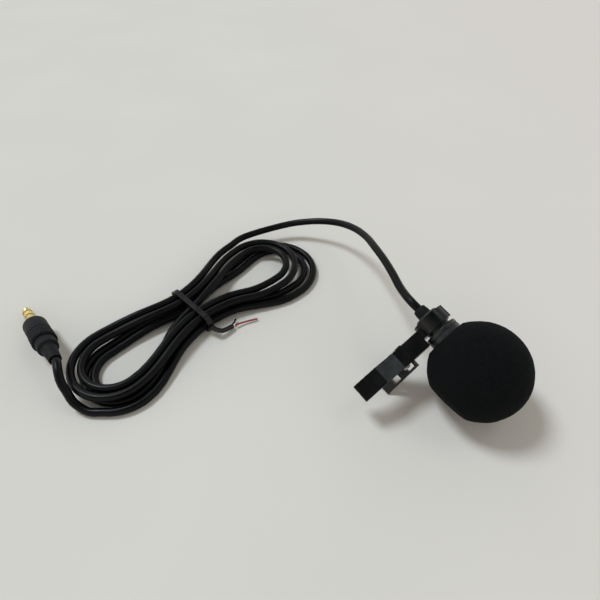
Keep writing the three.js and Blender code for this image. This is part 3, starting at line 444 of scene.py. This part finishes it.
def turned(name, outline, place, material, steps, bevel):
    """A piece spun about Y from its outline of (radius, distance along Y), with eased edges."""
    mesh = bpy.data.meshes.new(name)
    count = len(outline)
    mesh.from_pydata(
        [(radius, along, 0) for radius, along in outline],
        [(i, (i + 1) % count) for i in range(count)],
        [],
    )
    thing = object_of(name, mesh)
    edit(
        thing,
        (bpy.ops.mesh.select_all, {"action": "SELECT"}),
        (bpy.ops.mesh.spin, {
            "steps": steps,
            "angle": 2 * math.pi,
            "center": (0, 0, 0),
            "axis": (0, 1, 0),
        }),
    )
    close_up(thing)
    edit(
        thing,
        (bpy.ops.mesh.select_all, {"action": "SELECT"}),
        (bpy.ops.mesh.dissolve_degenerate, {"threshold": 1e-5}),
    )
    if bevel:
        apply_modifier(
            thing, "BEVEL", width=bevel, segments=BEVEL_SEGMENTS, limit_method="ANGLE",
            angle_limit=TURNED_BEVEL_ANGLE, use_clamp_overlap=True,
        )
    settle(thing, place, material)
    smooth(thing)
    return thing


def eased_copy(node, name, material, bevel):
    """A merged copy of a node's own shape, with its edges rounded as a mould leaves them."""
    mesh = nodes[node].data.copy()
    mesh.name = name
    mesh.materials.clear()
    mesh.materials.append(material)
    thing = object_of(name, mesh)
    edit(
        thing,
        (bpy.ops.mesh.select_all, {"action": "SELECT"}),
        (bpy.ops.mesh.remove_doubles, {"threshold": 2e-6}),
        (bpy.ops.mesh.dissolve_limited, {"angle_limit": FLAT_ANGLE}),
    )
    apply_modifier(
        thing, "BEVEL", width=bevel * MM, segments=BEVEL_SEGMENTS, limit_method="ANGLE",
        angle_limit=COPY_BEVEL_ANGLE, use_clamp_overlap=True,
    )
    smooth(thing, 60)
    apply_modifier(thing, "WEIGHTED_NORMAL", weight=100, keep_sharp=True)
    return thing


# ---------------------------------------------------------------- cable
CABLE_RADIUS = 1.4
TAIL_END_Y = 25.9
PLUG_BOOT_END_Y = -26.5

HANK_HALF_LENGTH = 51.6
HANK_LEFT_RADIUS = 15.4
HANK_RIGHT_RADIUS = 17.6
HANK_WAIST = 8.7
WAIST_X = -4
STEP_LEFT = 3.34
STEP_RIGHT = 4
STEP_WAIST = 3.4
STEP_END = 3.45
LAYER_HEIGHT = 3.25
HANK_BASE = 1.45
WAIST_LIFT = 0.9
LIFT_START = 12
LIFT_END = 28
UPPER_SHIFT = {"left": -0.8, "right": 0}
LOWER_SHIFT = {"left": -3.3, "right": -4}
UPPER_SHORTFALL = 4.5
SHIFT_START = 10
SHIFT_END = 32
DROP_PHASE = 0.27
DROP_SHARE = 0.1
FOLD_STEPS = 7
LOOP_STEPS = 24
FOLD_SHARE = FOLD_STEPS / LOOP_STEPS / 2
START_PHASE = FOLD_SHARE
END_PHASE = 0.5 - FOLD_SHARE * 3 / FOLD_STEPS
HANK_TURNS = 4 + END_PHASE - START_PHASE
HANK_STEPS_PER_TURN = 96


def ease(share):
    share = min(1, max(0, share))
    return share * share * (3 - 2 * share)


def loop_point(phase, inset):
    """A point of one loop of the hank, from 0 to 1 round it, and inset by that many strands."""
    half_length = HANK_HALF_LENGTH - STEP_END * inset
    left = HANK_LEFT_RADIUS - STEP_LEFT * inset
    right = HANK_RIGHT_RADIUS - STEP_RIGHT * inset
    waist = HANK_WAIST - STEP_WAIST * inset
    right_centre = half_length - right
    left_centre = left - half_length
    turn = (phase + FOLD_SHARE) % 1 - FOLD_SHARE
    if turn < FOLD_SHARE:
        angle = turn / FOLD_SHARE * math.pi / 2
        return right_centre + right * math.cos(angle), right * math.sin(angle)
    if abs(turn - 0.5) <= FOLD_SHARE:
        angle = math.pi + (turn - 0.5) / FOLD_SHARE * math.pi / 2
        return left_centre + left * math.cos(angle), left * math.sin(angle)
    far_side = turn < 0.5
    run = turn - FOLD_SHARE if far_side else 1 - FOLD_SHARE - turn
    x = right_centre + (left_centre - right_centre) * run / (0.5 - 2 * FOLD_SHARE)
    radius = right if x > WAIST_X else left
    reach = right_centre - WAIST_X if x > WAIST_X else WAIST_X - left_centre
    width = waist + (radius - waist) * ease(abs(x - WAIST_X) / reach)
    return x, width if far_side else -width


def hank_point(share):
    wound = share * HANK_TURNS
    half = HANK_TURNS / 2
    x, width = loop_point(START_PHASE + wound, half - abs(wound - half))
    drop_at = round(START_PHASE + half - DROP_PHASE) + DROP_PHASE - START_PHASE
    drop = ease((wound - drop_at) / DROP_SHARE + 0.5)
    side = "right" if x > WAIST_X else "left"
    from_tie = abs(x - WAIST_X)
    parted = ease((from_tie - SHIFT_START) / (SHIFT_END - SHIFT_START))
    shift = UPPER_SHIFT[side] + (LOWER_SHIFT[side] - UPPER_SHIFT[side]) * drop
    shortfall = UPPER_SHORTFALL * (1 - drop) * parted if x > WAIST_X else 0
    lift = WAIST_LIFT * (1 - ease((from_tie - LIFT_START) / (LIFT_END - LIFT_START)))
    return hank_place @ Vector((
        x - shortfall,
        width * (1 - 2 * drop) + shift * parted,
        HANK_BASE + LAYER_HEIGHT * (1 - drop) + lift,
    ))


def curve_through(points, spacing=1.5):
    """Points of a smooth line through the given ones, about that far apart."""
    line = []
    padded = [points[0] * 2 - points[1], *points, points[-1] * 2 - points[-2]]
    for a, b, c, d in zip(padded, padded[1:], padded[2:], padded[3:]):
        steps = max(1, round((c - b).length / spacing))
        knots = [0.0]
        for start, end in ((a, b), (b, c), (c, d)):
            knots.append(knots[-1] + math.sqrt((end - start).length))
        for step in range(steps):
            at = knots[1] + (knots[2] - knots[1]) * step / steps
            line.append(centripetal((a, b, c, d), knots, at))
    line.append(points[-1].copy())
    return line


def centripetal(corners, knots, at):
    """The point at that knot value of a centripetal Catmull-Rom curve."""
    level = list(corners)
    for rise in (1, 2, 3):
        span = []
        for i in range(len(level) - 1):
            low = knots[i if rise < 3 else 1]
            high = knots[i + rise if rise < 3 else 2]
            share = (at - low) / (high - low)
            span.append(level[i].lerp(level[i + 1], share))
        level = span
    return level[0]


def cable_line():
    steps = round(HANK_TURNS * HANK_STEPS_PER_TURN)
    hank = [hank_point(i / steps) for i in range(steps + 1)]
    into_hank = (hank[1] - hank[0]).normalized()
    out_of_hank = (hank[-1] - hank[-2]).normalized()
    tail_exit = microphone_place @ Vector((0, TAIL_END_Y, 0))
    tail_way = Vector((0, math.cos(TILT), math.sin(TILT)))
    boot_mouth = plug_place @ Vector((0, PLUG_BOOT_END_Y, 0))
    run = [
        tail_exit,
        tail_exit + tail_way * 3,
        Vector((11.25, 29.5, 21.6)),
        Vector((15.25, 36.8, 21.3)),
        Vector((18.95, 43.7, 20.6)),
        Vector((22.85, 51.5, 19.3)),
        Vector((26.75, 59.3, 17.4)),
        Vector((29.45, 67.8, 15)),
        Vector((30.05, 76.4, 12.4)),
        Vector((27.85, 84.3, 10.1)),
        Vector((23.45, 91, 8.2)),
        Vector((17.45, 96.5, 6.6)),
        hank[0] - into_hank * (4 + 2 * CABLE_RADIUS),
        hank[0],
    ]
    lead = [
        hank[-1],
        hank[-1] + out_of_hank * (2 + 2 * CABLE_RADIUS),
        Vector((-88.8, 73.1, 2.46)),
        Vector((-89.3, 74.5, 3.3)),
        Vector((-89.4, 75.8, 4.29)),
        Vector((-89.3, 77.4, 5.93)),
        Vector((-89.3, 78.9, 7.61)),
        Vector((-89, 80.7, 9.17)),
        Vector((-88.4, 82.5, 10.14)),
        Vector((-87.8, 84.3, 10.59)),
        Vector((-87.3, 86.1, 10.59)),
        boot_mouth,
    ]
    return curve_through(run)[:-1] + hank + curve_through(lead)[1:]


def make_cable():
    line = [point * MM for point in cable_line()]
    curve = bpy.data.curves.new("cable", "CURVE")
    curve.dimensions = "3D"
    curve.bevel_depth = CABLE_RADIUS * MM
    curve.bevel_resolution = 4
    curve.use_fill_caps = True
    curve.materials.append(cable_black)
    spline = curve.splines.new("POLY")
    spline.points.add(len(line) - 1)
    for point, place in zip(spline.points, line):
        point.co = (*place, 1)
    cable = object_of("cable", curve)
    length = sum((b - a).length for a, b in zip(line, line[1:]))
    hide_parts("cable_run", "cable_hank", "cable_plug_lead")
    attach(cable, "microphone")
    return cable, line, length


cable, cable_points, cable_length = make_cable()


# ---------------------------------------------------------------- foam windscreen
FOAM_RADIUS = 15.2
FOAM_FLAT = 14.7
FOAM_MOUTH_Y = 13.5
FOAM_DROP = 0.88
FOAM_OUTER = 12
FOAM_PRESS_START = 13.2
FOAM_PRESS_EASE = 1.2
FOAM_PRESS_WAY = Vector((-0.873, -0.048, -0.486)).normalized()
FOAM_BORE = 5.7
FOAM_BORE_FRONT_Y = 0.1
FOAM_RINGS = 84
FOAM_STEPS = 128
FOAM_SWELLS = ((0.25, 0.12), (0.9, 0.04))   # how often, per mm, and how high it is uneven
FOAM_PIT_RATE = 2.2
FOAM_PIT_DEPTH = 0.06
FOAM_REST_EASE = 0.4
FOAM_REST_LIFT = 0.02


def pressed(point):
    """The place of a point of the soft ball, which is flatter towards the clip's side."""
    beyond = max(0, point.dot(FOAM_PRESS_WAY) - FOAM_PRESS_START)
    return point - FOAM_PRESS_WAY * beyond ** 2 / (beyond + FOAM_PRESS_EASE)


def make_windscreen():
    """A foam ball with a rounded mouth, a flat where it rests, and a surface of open cells."""
    mouth_angle = math.acos(FOAM_MOUTH_Y / FOAM_RADIUS)
    outline = [(0, -FOAM_RADIUS)]
    for i in range(1, FOAM_RINGS + 1):
        angle = math.pi + (mouth_angle - math.pi) * i / FOAM_RINGS
        outline.append((FOAM_RADIUS * math.sin(angle), FOAM_RADIUS * math.cos(angle)))
    outline += [(FOAM_BORE + 0.3, FOAM_MOUTH_Y), (FOAM_BORE, FOAM_MOUTH_Y - 0.35)]
    outline += [(FOAM_BORE, y) for y in range(13, 0, -1)]
    outline += [(FOAM_BORE, FOAM_BORE_FRONT_Y), (0, FOAM_BORE_FRONT_Y)]
    foam = turned("foam_ball", outline, Matrix.Identity(4), foam_black, FOAM_STEPS, 0)
    foam.data.transform(Matrix.Scale(1 / MM, 4))
    apply_modifier(foam, "SUBSURF", levels=1, render_levels=1, subdivision_type="SIMPLE")
    drop = Vector((0, 0, -FOAM_DROP))
    table = Vector((0, -math.sin(TILT), -math.cos(TILT)))
    for vertex in foam.data.vertices:
        place = vertex.co.copy()
        if place.length > FOAM_OUTER:
            outward = place.normalized()
            puff = sum(noise.noise(place * rate) * height for rate, height in FOAM_SWELLS)
            pit = noise.turbulence(place * FOAM_PIT_RATE, 2, False) * FOAM_PIT_DEPTH
            place = pressed(place + outward * (puff - pit)) + drop
        below = (place - drop).dot(table) - FOAM_FLAT
        if below > -FOAM_REST_EASE:
            place -= table * max(0, below + FOAM_REST_LIFT)
        vertex.co = place
    settle(foam, microphone_place, foam_black)
    smooth(foam, 60)
    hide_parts("foam_windscreen")
    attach(foam, "windscreen")


make_windscreen()


# ---------------------------------------------------------------- clip
CLIP_EDGE = 0.12


def make_clip():
    for node, name, body in (
        ("clip_upper_arm", "clip_upper_arm_moulding", "clip"),
        ("clip_lower_arm", "clip_lower_arm_moulding", "clip_jaw"),
    ):
        moulding = eased_copy(node, name, clip_plastic, CLIP_EDGE)
        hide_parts(node)
        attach(moulding, body)


make_clip()

# ---------------------------------------------------------------- turned pieces that show
# Outlines of (radius, distance along Y), from the microphone's or the plug's own zero.
HEAD_SHELL = [(5, 1.95), (5.5, 1.95), (5.5, 15), (5, 15)]
REAR_HOUSING = [
    (4.1, 11.5), (4.9, 11.5), (4.9, 15.1), (5.5, 15.1), (5.5, 16.3), (5.2, 16.6), (4, 16.6),
    (4, 22.5), (3.7, 22.8), (2.45, 22.8), (2.45, 21.9), (3.1, 21.9), (3.1, 16), (4.1, 15.3),
]
STRAIN_RELIEF = [
    (1.55, 20.5), (2.9, 20.5), (2.9, 21.8), (2.3, 21.8), (2.3, 24.04), (2.1, 25.6), (1.8, 25.9),
    (1.55, 25.9),
]
PLUG_BARREL = [
    (1.85, 0), (3.5, 0), (3.85, -0.2), (4, -0.6), (4, -7.9), (3.75, -8.1), (3.75, -8.6),
    (4.1, -8.8), (4.1, -10), (3.92, -10.15), (3.92, -10.4), (4.1, -10.55), (4.1, -11.4),
    (3.92, -11.55), (3.92, -11.8), (4.1, -11.95), (4.1, -12.8), (3.92, -12.95), (3.92, -13.2),
    (4.1, -13.35), (4.1, -13.6), (3.7, -14),
    (2.7, -14), (2.7, -13.4), (3.2, -13.4), (3.2, -1.2), (1.85, -1.2),
]
PLUG_BOOT = [
    (1.55, -12), (3.1, -12), (3.1, -13.3), (2.6, -13.3), (2.6, -14.1), (3.4, -14.1),
    (3.4, -18), (3.15, -18.5), (2.45, -19), (1.95, -26.5), (1.55, -26.5),
]
PLUG_TIP = [
    (0, -6.7), (0.45, -6.7), (0.45, 10.1), (1.75, 10.1), (1.75, 10.55), (1.2, 11.15),
    (1.2, 11.3), (1.55, 11.95), (1.63, 12.3), (1.5, 12.75), (0.95, 13.6), (0.5, 13.94), (0, 14),
]
PLUG_TIP_INSULATOR = [(0.55, 9.55), (1.75, 9.55), (1.75, 10), (0.55, 10)]
PLUG_RING = [(0.65, -5.1), (0.95, -5.1), (0.95, 6.85), (1.75, 6.85), (1.75, 9.45), (0.65, 9.45)]
PLUG_RING_INSULATOR = [(1.05, 6.3), (1.75, 6.3), (1.75, 6.75), (1.05, 6.75)]
PLUG_SLEEVE = [(1.2, -2.9), (2.9, -2.9), (2.9, -1.3), (1.75, -1.3), (1.75, 6.2), (1.2, 6.2)]


TURNED_STEPS = 80


def make_turned(node, outline, place, material, slot, bevel=0.08):
    thing = turned(node + "_turned", outline, place, material, TURNED_STEPS, bevel)
    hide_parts(node)
    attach(thing, "microphone")
    return thing


for turned_piece in (
    ("head_shell", HEAD_SHELL, microphone_place, coated_metal, "microphone_metal"),
    ("rear_housing", REAR_HOUSING, microphone_place, coated_metal, "microphone_metal"),
    ("strain_relief", STRAIN_RELIEF, microphone_place, boot_rubber, "black_rubber", 0.15),
):
    make_turned(*turned_piece)

plug_pieces = [make_turned(*turned_piece) for turned_piece in (
    ("plug_barrel", PLUG_BARREL, plug_place, barrel_plastic, "satin_black_plastic", 0.1),
    ("plug_cable_boot", PLUG_BOOT, plug_place, boot_rubber, "black_rubber", 0.25),
    ("plug_tip", PLUG_TIP, plug_place, gold, "contact_metal", 0.06),
    ("plug_tip_insulator", PLUG_TIP_INSULATOR, plug_place, contact_black, "black_rubber", 0.03),
    ("plug_ring", PLUG_RING, plug_place, gold, "contact_metal", 0.05),
    ("plug_ring_insulator", PLUG_RING_INSULATOR, plug_place, contact_black, "black_rubber", 0.03),
    ("plug_sleeve", PLUG_SLEEVE, plug_place, gold, "contact_metal", 0.05),
)]


# ---------------------------------------------------------------- table and light
TABLE_SIZE = 6
TABLE_CLOUD = 90                        # millimetres, of the slow unevenness of its colour
TABLE_DARK = (0.612, 0.606, 0.556, 1)
TABLE_LIGHT = (0.64, 0.634, 0.582, 1)
TABLE_RIGHT = (0.63, 0.602, 0.566, 1)   # it turns slightly pink towards the photo's right
TINT_START = -0.08                      # metres to the right of the zero point
TINT_END = 0.16

SUN_ENERGY = 1.8
SUN_COLOUR = (0.92, 1, 1.1)
SUN_ANGLE = math.radians(16)
SUN_WAY = Vector((0.2, -0.585, -1))
LAMP_ENERGY = 0.6
LAMP_SIZE = 0.3
LAMP_COLOUR = (0.86, 0.97, 1)
LAMP_PLACE = Vector((0.446, -0.172, 0.879))
ROOM_COLOUR = (1, 0.94, 0.885, 1)
ROOM_LEVEL = 1.45                       # the room's brightness at the height of the table
ROOM_OVERHEAD = 0.08


def make_table():
    bpy.ops.mesh.primitive_plane_add(size=TABLE_SIZE, location=(0, 0, 0))
    table = bpy.context.active_object
    table.name = "table"
    finish = Finish("table_top", Roughness=0.75, Specular_IOR_Level=0.2)
    broad = finish.grain(TABLE_CLOUD, 2)
    where = {"Vector": finish.place()}
    across = (
        finish.add("ShaderNodeSeparateXYZ", None, where, 0) * CAMERA_HEADING[1]
        - finish.add("ShaderNodeSeparateXYZ", None, where, 1) * CAMERA_HEADING[0]
    )
    left = finish.mix(finish.spread(broad, 0.3, 0.7), TABLE_DARK, TABLE_LIGHT)
    tint = finish.spread(across, TINT_START, TINT_END)
    finish.feed("Base Color", finish.mix(tint, left, TABLE_RIGHT))
    table.data.materials.append(finish.material)


def make_lamp(name, kind, energy, colour, way):
    """A light of that kind, turned to shine that way."""
    lamp = object_of(name, bpy.data.lights.new(name, kind))
    lamp.data.energy = energy
    lamp.data.color = colour
    lamp.rotation_mode = "QUATERNION"
    lamp.rotation_quaternion = way.to_track_quat("-Z", "Y")
    return lamp


def make_lights():
    sun = make_lamp("window_light", "SUN", SUN_ENERGY, SUN_COLOUR, SUN_WAY)
    sun.data.angle = SUN_ANGLE
    ceiling = make_lamp("ceiling_light", "AREA", LAMP_ENERGY, LAMP_COLOUR, -LAMP_PLACE)
    ceiling.data.size = LAMP_SIZE
    ceiling.location = LAMP_PLACE


def make_room():
    """A warm room that is bright round the table and dark overhead."""
    world = bpy.data.worlds.new("room")
    bpy.context.scene.world = world
    world.use_nodes = True
    tree = world.node_tree
    background = tree.nodes["Background"]
    background.inputs["Color"].default_value = ROOM_COLOUR
    way = tree.nodes.new("ShaderNodeTexCoord")
    split = tree.nodes.new("ShaderNodeSeparateXYZ")
    fade = tree.nodes.new("ShaderNodeMapRange")
    fade.inputs["To Min"].default_value = ROOM_LEVEL
    fade.inputs["To Max"].default_value = ROOM_OVERHEAD
    tree.links.new(way.outputs["Generated"], split.inputs["Vector"])
    tree.links.new(split.outputs["Z"], fade.inputs["Value"])
    tree.links.new(fade.outputs["Result"], background.inputs["Strength"])
    bpy.context.scene.view_settings.view_transform = "Standard"


make_table()
make_lights()
make_room()
